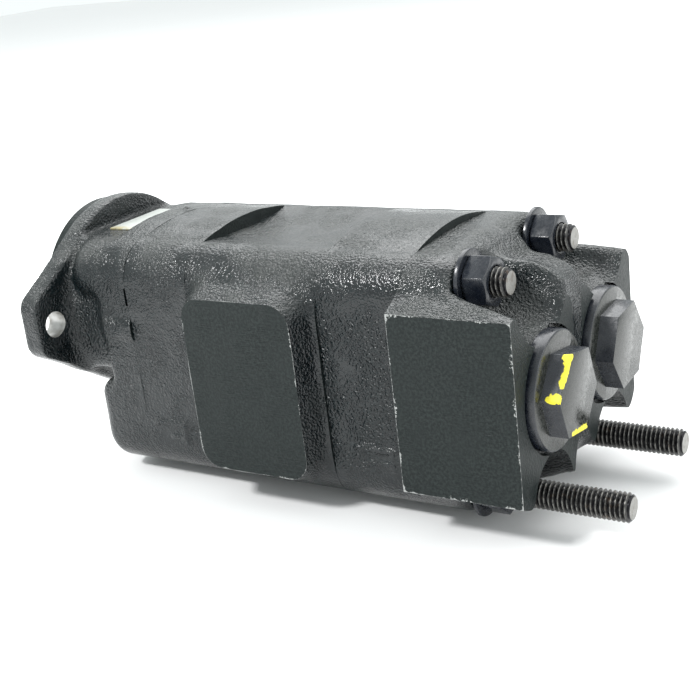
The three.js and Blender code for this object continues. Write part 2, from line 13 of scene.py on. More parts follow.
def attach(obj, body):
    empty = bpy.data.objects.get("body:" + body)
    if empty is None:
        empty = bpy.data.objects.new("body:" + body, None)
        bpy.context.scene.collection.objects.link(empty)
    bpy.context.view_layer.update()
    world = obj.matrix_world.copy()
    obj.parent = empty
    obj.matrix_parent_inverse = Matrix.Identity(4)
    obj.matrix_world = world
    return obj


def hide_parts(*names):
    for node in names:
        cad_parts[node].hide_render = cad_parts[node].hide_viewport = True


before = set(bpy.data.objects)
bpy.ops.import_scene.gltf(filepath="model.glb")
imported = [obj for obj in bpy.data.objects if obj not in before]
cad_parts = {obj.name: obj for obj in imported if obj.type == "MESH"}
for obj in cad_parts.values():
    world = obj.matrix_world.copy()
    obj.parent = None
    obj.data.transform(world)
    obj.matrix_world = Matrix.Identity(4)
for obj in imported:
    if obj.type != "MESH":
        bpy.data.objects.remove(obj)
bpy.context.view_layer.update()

MM = 0.001
INCH = 25.4
RANDOM_SEED = 11

# ---------------------------------------------------------------- dimensions, as in the CAD source
COVER_BACK = 45.5
FRONT_BACK = 78.0
CARRIER_BACK = 140.0
REAR_BACK = 177.0
NUT_SEAT = 197.0
END_BACK = 225.5
CENTRES = 35.0
MIDDLE = -CENTRES / 2
HALF_WIDTH = 45.0
HALF_HEIGHT = 50.3
CORNER = 15.5
FLANGE = dict(thickness=9.5, round=42.5, slope=math.radians(31.4), half_span=63.0, corner=8.0,
              hole_y=53.2, hole_radius=5.6, crown_drop=1.0)
PILOT = dict(radius=41.275, depth=6.35)
PAD_FACE = 56.0
PAD_SPREAD = 5.0
CARRIER_PAD = dict(x=(83.0, 134.5), z=(-54.4, 17.7), corner=9.0)
END_PAD = dict(x=(170.0, 232.0), z=(-51.5, 17.9), corner=2.0)
STUD = dict(y=29.3, z=40.8, radius=7 / 16 * INCH / 2, start=26.0, upper_end=214.0, lower_end=255.5)
THREAD_PITCH = INCH / 14
WASHER = dict(radius=11.7, bore=6.0, thickness=1.65)
NUT = dict(across_flats=11 / 16 * INCH, bore=5.65, thickness=3 / 8 * INCH)
NUT_TURNS = dict(upper_near=38.0, upper_far=45.0, lower_near=20.0, lower_far=10.0)
CHAMBER_RADIUS = CENTRES / 2 + 0.9 * CENTRES / 12 + 0.15
BUSH_RADIUS = 14.05
BUSH_POCKET = 21.0
GALLERY = dict(y=17.5, radius=5.0)
INLET = dict(x=109.0, radius=20.2, floor=30.0)
OUTLET = dict(x=198.0, radius=11.1, floor=39.0)
CROSSING = dict(x=211.0, radius=5.5)
REAR_PORT = dict(y=25.5, radius=16.9, floor=205.0, spot_radius=24.0, spot_floor=222.5)
PLUG = dict(thread=16.6, nose=209.0, collar=22.5, collar_back=228.3, across_flats=30.0, back=235.5)
PLUG_TURNS = dict(near=-9.5, far=4.0)
PLATE = dict(x=23.0, length=14.0, width=34.0, seat=32.2, thickness=0.8)
DOWELS = [(34.0, -8.0), (-34.0, -27.0)]
SEAL_RING = dict(radius=24.5, half=1.25, depth=1.7)
SHAFT_BORE = 11.6
SHAFT_SEAL = dict(radius=16.05, floor=3.05)
SEAM_GAP = 0.05
BEYOND_Y = (-90, 90)
BEYOND_Z = (-120, 90)

# ---------------------------------------------------------------- dimensions of the castings' skin
# how far each section crowns above and below its corners
COVER_CROWN = 3.6
FRONT_CROWN = 3.6
CARRIER_CROWN = (-1.9, 0.5)
REAR_CROWN = 4.2
END_CROWN = (1.2, 0.5)

# shaft end cover: where its round neck ends and where each step of its body begins
NECK = dict(x=(3, 32), radius=41, z=(-24, 8))
SHOULDER_START = 33
BAND_START = 28
UPPER_STEP = dict(x=14, z=11)
LOWER_STEP = dict(x=18, z=-28)
SEAT_END = 31.5
RIB = dict(x=29.5, y=(40, 46.2), z=(-6.5, 1))
NUB = dict(x=(39.4, 42), y=(5.6, 8.4), z=(30, 37.6))
PRY_SLOT = dict(depth=1.2, y=(-48, -43.6), z=(8, 15.5))

# raised casting bars on the near side, as spans along X and Z
FRONT_MARKS = [((49.5, 66.5), (-44.4, -42.4)), ((64.5, 66.5), (-52.5, -42.4)), ((58.0, 66.5), (-50.0, -48.4))]
REAR_MARKS = [((150.5, 168.0), (-43.0, -41.0)), ((166.0, 168.0), (-50.5, -41.0)),
              ((156.5, 168.0), (-48.4, -46.8))]
MARK_HEIGHT = 0.9

# port end cover: side profiles in X and Z of the body's back and of the ridge between the ports
BACK_SLOPE = [(150, 60), (178, 60), (186, 39), (191, 35.5), (197, 30.5), (202, 24), (205, 18), (205, -90),
              (150, -90)]
RIDGE = [(170, 23.5), (212, 23.0), (219.0, 21.0), (223.4, 17.0), (224.7, 8),
         (224.7, -45), (223.4, -49), (216, -59), (206, -64), (170, -66)]
RIDGE_Y = (-17, 15)
CORE = dict(back=221, y=(-40, 40), z=(-51.5, 15))
FAR_BLOCK_DROP = 6.0
NUT_SCOOP = dict(radius=13.2, spot=12.6, upper=22.0, lower=17.5, length=28.5)

CAST, MILLED, BARE = 0, 1, 2


# ---------------------------------------------------------------- distance fields
# keeps the samples off the shapes' round dimensions
GRID_OFFSET = 0.37


class Grid:
    """Sample points along X, Y and Z, and a smooth lumpy noise over them."""

    def __init__(self, x, y, z, step=1.0):
        spans = [(low - GRID_OFFSET, high) for low, high in (x, y, z)]
        axes = [np.arange(low, high + step, step, dtype=np.float32) for low, high in spans]
        self.low = np.array([low for low, _ in spans], np.float32)
        self.step = step
        self.x = axes[0][:, None, None]
        self.y = axes[1][None, :, None]
        self.z = axes[2][None, None, :]

    def lumps(self, size, seed):
        """Smooth noise from -1 to 1, with lumps of about that size in millimetres."""
        axes = [a.ravel() / size for a in (self.x, self.y, self.z)]
        cells = [np.floor(a).astype(int) for a in axes]
        first = [c.min() for c in cells]
        shape = [c.max() - c.min() + 2 for c in cells]
        values = np.random.default_rng(seed).uniform(-1, 1, shape).astype(np.float32)
        for axis in range(3):
            at = cells[axis] - first[axis]
            share = (axes[axis] - cells[axis]).astype(np.float32)
            share = share * share * (3 - 2 * share)
            share = share.reshape([-1 if a == axis else 1 for a in range(3)])
            values = np.take(values, at, axis) * (1 - share) + np.take(values, at + 1, axis) * share
        return values


def between(values, low, high):
    return np.maximum(low - values, values - high)


def overlap(parts, radius=0.0):
    """Where all the parts overlap, with that radius on the edges between them."""
    moved = [part + radius for part in parts]
    outside = np.sqrt(sum(np.maximum(m, 0) ** 2 for m in moved))
    deepest = moved[0]
    for m in moved[1:]:
        deepest = np.maximum(deepest, m)
    return outside + np.minimum(deepest, 0) - radius


def merge(a, b, reach):
    """Both shapes, with a fillet where they meet."""
    share = np.maximum(reach - np.abs(a - b), 0) / reach
    return np.minimum(a, b) - share * share * reach / 4


def carve(a, b, reach):
    """The first shape without the second, with a rounded edge between them."""
    return -merge(-a, b, reach)


def inside_outline(points, u, v):
    """Signed distance to a closed outline in the plane of u and v."""
    u, v = np.broadcast_arrays(u, v)
    best = np.full(u.shape, 1e9, np.float32)
    inside = np.zeros(u.shape, bool)
    count = len(points)
    for i in range(count):
        (au, av), (bu, bv) = points[i], points[(i + 1) % count]
        du, dv = bu - au, bv - av
        length = du * du + dv * dv
        if length < 1e-9:
            continue
        along = np.clip(((u - au) * du + (v - av) * dv) / length, 0, 1)
        best = np.minimum(best, (u - au - along * du) ** 2 + (v - av - along * dv) ** 2)
        if abs(dv) > 1e-9:
            crosses = ((av <= v) != (bv <= v)) & (u < au + (v - av) / dv * du)
            inside ^= crosses
    distance = np.sqrt(best)
    return np.where(inside, -distance, distance)


def net(grid, field):
    """Points and four-sided faces of the surface where the field is zero."""
    low, step = grid.low, grid.step
    shape = field.shape
    cells = [n - 1 for n in shape]
    total = np.zeros(cells + [3], np.float32)
    count = np.zeros(cells, np.float32)
    crossings = []
    for axis in range(3):
        first = [slice(None)] * 3
        second = [slice(None)] * 3
        first[axis] = slice(0, -1)
        second[axis] = slice(1, None)
        a, b = field[tuple(first)], field[tuple(second)]
        crosses = (a < 0) != (b < 0)
        crossings.append((axis, crosses, a < 0))
        share = np.where(crosses, a / np.where(crosses, a - b, 1), 0)
        index = np.indices(a.shape, dtype=np.float32)
        others = [n for n in range(3) if n != axis]
        for shift_u in (0, 1):
            for shift_v in (0, 1):
                part = [slice(None)] * 3
                part[others[0]] = slice(shift_u, shift_u + cells[others[0]])
                part[others[1]] = slice(shift_v, shift_v + cells[others[1]])
                part = tuple(part)
                hit = crosses[part]
                count += hit
                for n in range(3):
                    place = index[n][part] + (share[part] if n == axis else 0)
                    total[..., n] += np.where(hit, place, 0)
    used = count > 0
    number = np.full(cells, -1, np.int64)
    number[used] = np.arange(used.sum())
    points = total[used] / count[used][:, None] * step + low
    corners = np.argwhere(used)
    faces = []
    for axis, crosses, starts_inside in crossings:
        u, v = [n for n in range(3) if n != axis]
        hits = np.argwhere(crosses)
        hits = hits[(hits[:, u] > 0) & (hits[:, u] < cells[u]) & (hits[:, v] > 0) & (hits[:, v] < cells[v])]
        ring = []
        for shift_u, shift_v in ((-1, -1), (0, -1), (0, 0), (-1, 0)):
            at = hits.copy()
            at[:, u] += shift_u
            at[:, v] += shift_v
            ring.append(number[at[:, 0], at[:, 1], at[:, 2]])
        ring = np.stack(ring, 1)
        flips = starts_inside[hits[:, 0], hits[:, 1], hits[:, 2]] == (axis == 1)
        ring[flips] = ring[flips][:, ::-1]
        faces.append(ring)
    return points, np.concatenate(faces), corners


SWELL = 0.12
SWELL_SPREAD = 10


def sealed_net(grid, field, tries=12):
    """The net of a field, slightly swollen at the few spots where more than two faces would share an edge."""
    for _ in range(tries):
        points, faces, corners = net(grid, field)
        edges = np.sort(np.concatenate([faces[:, [n, (n + 1) % 4]] for n in range(4)]), 1)
        keys, counts = np.unique(edges[:, 0] * len(points) + edges[:, 1], return_counts=True)
        bad = keys[counts != 2]
        if not len(bad):
            break
        for corner in corners[np.unique(np.concatenate([bad // len(points), bad % len(points)]))]:
            spans = [range(max(c - 5, 1), min(c + 7, n - 1)) for c, n in zip(corner, field.shape)]
            offsets = [np.array(span) - c - 0.5 for span, c in zip(spans, corner)]
            squares = sum(reach ** 2 for reach in np.ix_(*offsets))
            window = tuple(slice(span.start, span.stop) for span in spans)
            field[window] -= SWELL * np.exp(-squares / SWELL_SPREAD)
    return points, faces


# ---------------------------------------------------------------- meshes
def placed(name, data):
    made = bpy.data.objects.new(name, data)
    bpy.context.scene.collection.objects.link(made)
    return made


def mesh_object(name, points, faces):
    """An object from points in millimetres."""
    mesh = bpy.data.meshes.new(name)
    mesh.from_pydata((np.asarray(points, float) * MM).tolist(), [], [list(map(int, f)) for f in faces])
    mesh.update()
    return placed(name, mesh)


def turned_mesh(profile, y=0.0, z=0.0, sides=64):
    """Points and faces of a closed profile of (x, radius) turned about a line parallel to X."""
    angles = np.arange(sides) * 2 * math.pi / sides
    points, rows = [], []
    for x, radius in profile:
        if radius < 1e-6:
            rows.append([len(points)] * sides)
            points.append((x, y, z))
        else:
            rows.append(list(range(len(points), len(points) + sides)))
            points += [(x, y + radius * math.cos(a), z + radius * math.sin(a)) for a in angles]
    faces = []
    closed = profile[0][1] > 1e-6 or profile[-1][1] > 1e-6
    pairs = list(zip(rows, rows[1:])) + ([(rows[-1], rows[0])] if closed else [])
    for low, high in pairs:
        for i in range(sides):
            j = (i + 1) % sides
            face = [low[i], low[j], high[j], high[i]]
            face = [p for n, p in enumerate(face) if p != face[n - 1]]
            if len(face) > 2:
                faces.append(face)
    return points, faces


def rod(start, stop, radius, y=0.0, z=0.0, sides=64):
    return turned_mesh([(start, 0), (start, radius), (stop, radius), (stop, 0)], y, z, sides)


def rod_y(start, stop, radius, x, z, sides=64):
    points, faces = rod(start, stop, radius, 0, 0, sides)
    return [(x + b, a, z + c) for a, b, c in points], [f[::-1] for f in faces]


def block(x, y, z):
    points = [(a, b, c) for a in x for b in y for c in z]
    faces = [(0, 1, 3, 2), (4, 6, 7, 5), (0, 4, 5, 1), (2, 3, 7, 6), (0, 2, 6, 4), (1, 5, 7, 3)]
    return points, faces


def prism(outline, start, stop):
    """An outline in the YZ plane, run along X."""
    count = len(outline)
    points = [(start, u, v) for u, v in outline] + [(stop, u, v) for u, v in outline]
    faces = [[i, (i + 1) % count, count + (i + 1) % count, count + i] for i in range(count)]
    faces += [list(range(count))[::-1], list(range(count, 2 * count))]
    return points, faces


def together(parts):
    points, faces = [], []
    for part_points, part_faces in parts:
        start = len(points)
        points += list(part_points)
        faces += [[start + i for i in f] for f in part_faces]
    return points, faces


def outward(obj):
    """Faces turned so that the solid's volume is positive."""
    mesh = obj.data
    count = len(mesh.loops)
    mesh.calc_loop_triangles()
    tri = np.zeros(len(mesh.loop_triangles) * 3, np.int32)
    mesh.loop_triangles.foreach_get("vertices", tri)
    co = np.zeros(len(mesh.vertices) * 3, np.float32)
    mesh.vertices.foreach_get("co", co)
    p = co.reshape(-1, 3)[tri.reshape(-1, 3)]
    volume = np.einsum("ij,ij->i", p[:, 0], np.cross(p[:, 1], p[:, 2])).sum()
    if volume < 0 and count:
        mesh.flip_normals()
    return obj


def machine(obj, steps):
    """Boolean steps in turn: each is (operation, (points, faces), material slot of the new faces)."""
    tools = []
    for operation, shape, slot in steps:
        tool = outward(mesh_object("tool", *shape))
        for material in obj.data.materials:
            tool.data.materials.append(material)
        tool.data.polygons.foreach_set("material_index", np.full(len(tool.data.polygons), slot, np.int32))
        modifier = obj.modifiers.new("step", "BOOLEAN")
        modifier.operation = operation
        modifier.solver = "MANIFOLD"
        modifier.object = tool
        tools.append(tool)
    old = obj.data
    obj.data = applied(obj)
    bpy.data.meshes.remove(old)
    for tool in tools:
        mesh = tool.data
        bpy.data.objects.remove(tool)
        bpy.data.meshes.remove(mesh)
    return obj


def applied(obj):
    """The object's mesh with its modifiers worked in."""
    bpy.context.view_layer.update()
    made = bpy.data.meshes.new_from_object(obj.evaluated_get(bpy.context.evaluated_depsgraph_get()))
    obj.modifiers.clear()
    return made


def smooth(obj, angle=32):
    obj.data.polygons.foreach_set("use_smooth", np.ones(len(obj.data.polygons), bool))
    obj.data.set_sharp_from_angle(angle=math.radians(angle))
    return obj


def bevelled(obj, width, segments=2, angle=30):
    modifier = obj.modifiers.new("edges", "BEVEL")
    modifier.width = width * MM
    modifier.segments = segments
    modifier.limit_method = "ANGLE"
    modifier.angle_limit = math.radians(angle)
    obj.data = applied(obj)
    return obj


def finish_piece(obj, slot, *nodes, body="pump_body"):
    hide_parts(*nodes)
    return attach(obj, body)


# ---------------------------------------------------------------- shader building
class Shader:
    """A material whose nodes are made by short calls. A socket given as an input is linked."""

    def __init__(self, name):
        self.material = bpy.data.materials.new(name)
        self.material.use_nodes = True
        self.tree = self.material.node_tree
        self.surface = self.tree.nodes["Principled BSDF"]
        self.place = self.node("ShaderNodeTexCoord").outputs["Object"]

    def node(self, kind, **settings):
        made = self.tree.nodes.new(kind)
        for key, value in settings.items():
            setattr(made, key, value)
        return made

    def feed(self, socket, value):
        if isinstance(value, bpy.types.NodeSocket):
            self.tree.links.new(value, socket)
        else:
            socket.default_value = value

    def set(self, **inputs):
        for key, value in inputs.items():
            self.feed(self.surface.inputs[key.replace("_", " ")], value)
        return self

    def math(self, operation, a, b=0.0):
        made = self.node("ShaderNodeMath", operation=operation)
        self.feed(made.inputs[0], a)
        self.feed(made.inputs[1], b)
        return made.outputs[0]

    def plus(self, a, b):
        return self.math("ADD", a, b)

    def minus(self, a, b):
        return self.math("SUBTRACT", a, b)

    def times(self, a, b):
        return self.math("MULTIPLY", a, b)

    def square(self, a):
        return self.math("POWER", a, 2.0)

    def total(self, values):
        return self.plus(self.plus(values[0], values[1]), values[2])

    def split(self, vector):
        made = self.node("ShaderNodeSeparateXYZ")
        self.feed(made.inputs[0], vector)
        return made.outputs

    def normal(self):
        return self.split(self.node("ShaderNodeNewGeometry").outputs["Normal"])

    def noise(self, size, detail=2.0, rough=0.5, stretch=(1, 1, 1), offset=0.0):
        """Noise whose lumps are about that many millimetres."""
        mapping = self.node("ShaderNodeMapping")
        self.feed(mapping.inputs["Vector"], self.place)
        mapping.inputs["Scale"].default_value = [s / (size * MM) for s in stretch]
        mapping.inputs["Location"].default_value = (offset, offset, offset)
        made = self.node("ShaderNodeTexNoise")
        self.feed(made.inputs["Vector"], mapping.outputs[0])
        made.inputs["Scale"].default_value = 1.0
        made.inputs["Detail"].default_value = detail
        made.inputs["Roughness"].default_value = rough
        return made.outputs["Fac"]

    def cells(self, size, smoothness=0.4):
        made = self.node("ShaderNodeTexVoronoi", feature="SMOOTH_F1")
        self.feed(made.inputs["Vector"], self.place)
        made.inputs["Scale"].default_value = 1 / (size * MM)
        made.inputs["Smoothness"].default_value = smoothness
        return made.outputs["Distance"]

    def ramp(self, value, low, high, out_low=0.0, out_high=1.0):
        made = self.node("ShaderNodeMapRange", interpolation_type="SMOOTHSTEP")
        for socket, number in zip(made.inputs[:5], (value, low, high, out_low, out_high)):
            self.feed(socket, number)
        return made.outputs[0]

    def mix(self, share, a, b, kind="RGBA"):
        made = self.node("ShaderNodeMix", data_type=kind)
        self.feed(made.inputs["Factor"], share)
        self.feed(made.inputs["A"], a)
        self.feed(made.inputs["B"], b)
        return made.outputs["Result"]

    def bump(self, height, depth, strength=1.0):
        made = self.node("ShaderNodeBump")
        made.inputs["Distance"].default_value = depth * MM
        made.inputs["Strength"].default_value = strength
        self.feed(made.inputs["Height"], height)
        return made.outputs["Normal"]

    def frame_distance(self, pad):
        """How far a point is inside a pad's rounded rectangle in X and Z, negative inside, in metres."""
        x, _, z = self.split(self.place)
        sides = []
        for value, (low, high) in ((x, pad["x"]), (z, pad["z"])):
            middle, half = (low + high) / 2 * MM, ((high - low) / 2 - pad["corner"]) * MM
            sides.append(self.minus(self.math("ABSOLUTE", self.minus(value, middle)), half))
        beyond = [self.square(self.math("MAXIMUM", side, 0.0)) for side in sides]
        outside = self.math("SQRT", self.plus(*beyond))
        deepest = self.math("MINIMUM", self.math("MAXIMUM", *sides), 0.0)
        return self.minus(self.plus(outside, deepest), pad["corner"] * MM)


def colour(red, green, blue):
    return (red, green, blue, 1.0)


BLACK_STEEL = (colour(0.006, 0.008, 0.013), colour(0.018, 0.021, 0.027))
MARKER_YELLOW = colour(0.80, 0.70, 0.02)


def cast_paint(name, seed):
    """Thin black paint over sand-cast iron: grain, small pits, broad unevenness, and a painted highlight that
    lightens upward faces in patches.
    """
    s = Shader(name)
    grain = s.noise(0.95, 1.0, 0.5, offset=seed)
    skin = s.noise(2.2, 1.0, 0.4, offset=seed + 7)
    broad = s.noise(17.0, 2.0, 0.5, offset=seed + 3)
    pits = s.ramp(s.cells(3.6), 0.02, 0.22, 0.0, 1.0)
    patchy = s.ramp(broad, 0.35, 0.65, 0.35, 1.0)
    height = s.plus(s.times(s.times(grain, patchy), 1.35), s.times(skin, 0.25))
    height = s.plus(height, s.times(pits, 0.12))
    upward = s.ramp(s.normal()[2], 0.1, 0.9)
    # painted highlight: upward faces are lightened towards grey in patches, standing in for the sheen of
    # reflected light on the tops
    top_sheen = s.times(upward, s.ramp(broad, 0.35, 0.7, 0.25, 1.0))
    base = s.mix(s.ramp(grain, 0.35, 0.7), colour(0.001, 0.003, 0.004), colour(0.005, 0.009, 0.010))
    base = s.mix(s.times(top_sheen, 0.35), base, colour(0.07, 0.075, 0.07))
    rough = s.ramp(broad, 0.3, 0.7, 0.17, 0.30)
    s.set(Base_Color=base, Roughness=rough, Normal=s.bump(height, 0.75), Metallic=0.0, IOR=1.5)
    return s.material


def milled_paint(name, pads):
    """Black paint over a milled face: fine tool lines, a speckle, and bare chips along the pads' edges."""
    s = Shader(name)
    lines = s.noise(0.55, 1.0, 0.5, stretch=(0.05, 1, 1))
    speckle = s.noise(1.1, 3.0, 0.65)
    broad = s.noise(11.0, 2.0)
    base = s.mix(s.ramp(speckle, 0.38, 0.66), colour(0.003, 0.006, 0.006), colour(0.017, 0.023, 0.022))
    base = s.mix(s.ramp(broad, 0.3, 0.75, 0.0, 0.4), base, colour(0.008, 0.012, 0.012))
    where = s.ramp(s.noise(16.0, 1.0, offset=8), 0.40, 0.60)
    height = s.plus(s.times(s.times(lines, where), 1.6), s.times(speckle, 0.9))
    chips = None
    sideways = s.ramp(s.math("ABSOLUTE", s.normal()[1]), 0.8, 0.9)
    for pad, amount in pads:
        distance = s.frame_distance(pad)
        torn = s.ramp(s.noise(1.3, 4.0, 0.75, offset=5), 0.42, 0.68)
        patch = s.ramp(s.noise(9.0, 1.0, offset=2), 0.5, 0.66, 0.12, 1.0)
        reach = s.times(s.times(torn, patch), amount * MM)
        edge = s.plus(distance, reach)
        bare = s.ramp(edge, -0.12 * MM, 0.08 * MM, 0.0, 0.8)
        near = s.ramp(s.math("ABSOLUTE", distance), 1.6 * MM, 2.4 * MM, 1.0, 0.0)
        bare = s.times(s.times(bare, near), sideways)
        chips = bare if chips is None else s.math("MAXIMUM", chips, bare)
    rough = s.ramp(speckle, 0.3, 0.7, 0.34, 0.52)
    metal = 0.0
    if chips is not None:
        base = s.mix(chips, base, colour(0.40, 0.41, 0.40))
        metal = s.times(chips, 0.6)
    s.set(Base_Color=base, Roughness=rough, Metallic=metal, Normal=s.bump(height, 0.24), IOR=1.30)
    return s.material


def bare_iron(name):
    """Machined iron with turning marks."""
    s = Shader(name)
    turning = s.noise(0.5, 2.0, stretch=(1, 0.08, 0.08))
    stain = s.noise(5.0, 3.0)
    base = s.mix(s.ramp(stain, 0.35, 0.7), colour(0.42, 0.42, 0.41), colour(0.26, 0.25, 0.23))
    s.set(Base_Color=base, Metallic=0.9, Roughness=s.ramp(stain, 0.3, 0.7, 0.28, 0.5))
    s.set(Normal=s.bump(turning, 0.05, 0.6))
    return s.material


def gloss_black(name):
    """Black-finished steel with a wet look, small dents and dust."""
    s = Shader(name)
    dents = s.noise(1.4, 3.0, 0.6)
    broad = s.noise(6.0, 2.0)
    flecks = s.ramp(s.noise(0.8, 4.0, 0.75, offset=9), 0.66, 0.72)
    base = s.mix(s.ramp(broad, 0.3, 0.7), *BLACK_STEEL)
    base = s.mix(s.times(flecks, 0.6), base, colour(0.22, 0.23, 0.22))
    s.set(Base_Color=base, Roughness=s.ramp(dents, 0.3, 0.7, 0.16, 0.34), Metallic=0.0, IOR=1.55)
    s.set(Normal=s.bump(dents, 0.06, 0.7))
    return s.material


def stud_steel(name):
    """Dark oiled stud steel, brighter on the thread crests and the cut end."""
    s = Shader(name)
    _, y, z = s.split(s.place)
    out = s.minus(s.math("ABSOLUTE", y), STUD["y"] * MM)
    up = s.minus(s.math("ABSOLUTE", s.minus(z, MIDDLE * MM)), STUD["z"] * MM)
    radius = s.math("SQRT", s.plus(s.square(out), s.square(up)))
    crest = s.ramp(radius, 5.1 * MM, 5.5 * MM)
    tip = s.ramp(s.normal()[0], 0.8, 0.95)
    wear = s.noise(1.7, 4.0, 0.65)
    bright = s.math("MAXIMUM", s.times(crest, s.ramp(wear, 0.3, 0.65)), tip)
    base = s.mix(bright, colour(0.012, 0.012, 0.014), colour(0.22, 0.215, 0.20))
    rust = s.ramp(s.noise(3.0, 3.0, offset=4), 0.58, 0.7, 0.0, 0.5)
    base = s.mix(rust, base, colour(0.07, 0.045, 0.028))
    s.set(Base_Color=base, Metallic=0.7, Roughness=s.ramp(wear, 0.3, 0.7, 0.26, 0.45))
    s.set(Normal=s.bump(wear, 0.05, 0.7))
    return s.material


def plain_metal(name, dark, light, rough, grain, stretch=(1, 1, 1), bump=0.03):
    s = Shader(name)
    texture = s.noise(grain, 3.0, 0.6, stretch=stretch)
    broad = s.noise(grain * 14, 2.0)
    base = s.mix(s.ramp(s.plus(s.times(texture, 0.5), s.times(broad, 0.5)),
                        0.35, 0.65), colour(*dark), colour(*light))
    s.set(Base_Color=base, Metallic=1.0, Roughness=s.ramp(broad, 0.3, 0.7, rough - 0.06, rough + 0.08))
    s.set(Normal=s.bump(texture, bump, 0.8))
    return s.material


def rubber(name):
    s = Shader(name)
    texture = s.noise(0.6, 3.0, 0.6)
    base = s.mix(s.ramp(texture, 0.3, 0.7), colour(0.008, 0.008, 0.009), colour(0.022, 0.022, 0.023))
    s.set(Base_Color=base, Roughness=s.ramp(texture, 0.3, 0.7, 0.55, 0.75), Normal=s.bump(texture, 0.03, 0.6))
    return s.material


def plate_finish(name):
    """A pale blank plate, yellowed along its near edge, with dark scuffs."""
    s = Shader(name)
    y = s.split(s.place)[1]
    near = s.ramp(y, -12 * MM, -16.5 * MM)
    stain = s.noise(2.6, 4.0, 0.65)
    scuff = s.ramp(s.noise(1.6, 4.0, 0.7, offset=3), 0.60, 0.70, 0.0, 0.8)
    yellowed = s.times(near, s.ramp(stain, 0.3, 0.6))
    base = s.mix(yellowed, colour(0.36, 0.38, 0.36), colour(0.30, 0.26, 0.13))
    base = s.mix(scuff, base, colour(0.10, 0.105, 0.10))
    s.set(Base_Color=base, Roughness=s.ramp(stain, 0.3, 0.7, 0.35, 0.55), Normal=s.bump(stain, 0.05, 0.6))
    return s.material


def plug_finish(name, y, turn, marks):
    """The plugs' gloss black, with paint-marker strokes near some of the hexagon's corners."""
    s = Shader(name)
    px, py, pz = s.split(s.place)
    dents = s.noise(1.6, 3.0, 0.6)
    broad = s.noise(7.0, 2.0)
    flat = s.ramp(s.normal()[0], 0.85, 0.97)
    base = s.mix(s.ramp(broad, 0.3, 0.7), *BLACK_STEEL)
    worn = s.mix(s.ramp(dents, 0.35, 0.65), colour(0.012, 0.014, 0.012), colour(0.026, 0.028, 0.025))
    base = s.mix(flat, base, worn)
    ragged = s.times(s.minus(s.noise(2.0, 3.0, 0.6, offset=6), 0.5), 3.2 * MM)
    painted = None
    for (x0, a0, r0), (x1, a1, r1), width in marks:
        ends = []
        for x, a, r in ((x0, a0, r0), (x1, a1, r1)):
            angle = math.radians(turn + a)
            ends.append(Vector((x, y + r * math.cos(angle), MIDDLE + r * math.sin(angle))) * MM)
        middle, half = (ends[0] + ends[1]) / 2, (ends[1] - ends[0]) / 2
        length = half.length
        way = half.normalized()
        offsets = [s.minus(value, centre) for value, centre in zip((px, py, pz), middle)]
        along = s.total([s.times(offset, share) for offset, share in zip(offsets, way)])
        squares = s.total([s.square(offset) for offset in offsets])
        beyond = s.math("MAXIMUM", s.minus(s.math("ABSOLUTE", along), length), 0.0)
        across = s.minus(squares, s.square(along))
        distance = s.math("SQRT", s.math("MAXIMUM", s.plus(across, s.square(beyond)), 0.0))
        stroke = s.ramp(s.plus(distance, ragged), width * MM, (width + 0.25) * MM, 1.0, 0.0)
        painted = stroke if painted is None else s.math("MAXIMUM", painted, stroke)
    rough = s.ramp(dents, 0.3, 0.7, 0.18, 0.36)
    if painted is not None:
        base = s.mix(painted, base, MARKER_YELLOW)
        rough = s.mix(painted, rough, 0.5, "FLOAT")
    s.set(Base_Color=base, Roughness=rough, Metallic=0.0, IOR=1.55)
    s.set(Normal=s.bump(dents, 0.04, 0.6))
    return s.material


# ---------------------------------------------------------------- outlines in the YZ plane
def arc(y, z, radius, start, stop, steps=10):
    angles = np.linspace(math.radians(start), math.radians(stop), steps + 1)
    return [(y + radius * math.cos(a), z + radius * math.sin(a)) for a in angles]


def curve(start, control, stop, steps=14):
    shares = np.linspace(0, 1, steps + 1)[1:-1]
    return [tuple((1 - t) ** 2 * a + 2 * t * (1 - t) * b + t * t * c for a, b, c in zip(start, control, stop))
            for t in shares]


def casting_outline(top, bottom=None):
    """The castings' section; top and bottom are how far each crowns beyond the corners."""
    bottom = top if bottom is None else bottom
    y, rise = HALF_WIDTH - CORNER, HALF_HEIGHT - CORNER
    high, low = MIDDLE + HALF_HEIGHT, MIDDLE - HALF_HEIGHT
    points = arc(y, MIDDLE + rise, CORNER, 0, 90)
    points += curve((y, high), (0, high + 2 * top), (-y, high))
    points += arc(-y, MIDDLE + rise, CORNER, 90, 180)
    points += arc(-y, MIDDLE - rise, CORNER, 180, 270)
    points += curve((-y, low), (0, low - 2 * bottom), (y, low))
    points += arc(y, MIDDLE - rise, CORNER, 270, 360)
    return points


def flange_outline():
    r, slope, span, corner = (FLANGE[k] for k in ("round", "slope", "half_span", "corner"))
    leave_y, leave_z = r * math.sin(slope), r * math.cos(slope)
    ear_top = leave_z - (span - leave_y) * math.tan(slope)
    arc_z = ear_top - corner * math.tan((math.pi / 2 - slope) / 2)
    arc_y = span - corner
    tilt = math.degrees(slope)
    points = arc(arc_y, arc_z, corner, 0, 90 - tilt)
    lowered = FLANGE["crown_drop"] / (1 - math.cos(slope))
    points += arc(0, -lowered, r + lowered * math.cos(slope), 90 - tilt, 90 + tilt, 20)
    points += arc(-arc_y, arc_z, corner, 90 + tilt, 180)
    points += arc(-arc_y, -arc_z, corner, 180, 270 - tilt)
    points += arc(0, 0, r, 270 - tilt, 270 + tilt, 20)
    points += arc(arc_y, -arc_z, corner, 270 + tilt, 360)
    return points


def hexagon(across_flats, turn):
    corner = across_flats / math.sqrt(3)
    angles = [math.radians(turn + 60 * i) for i in range(6)]
    return [(corner * math.cos(a), corner * math.sin(a)) for a in angles]


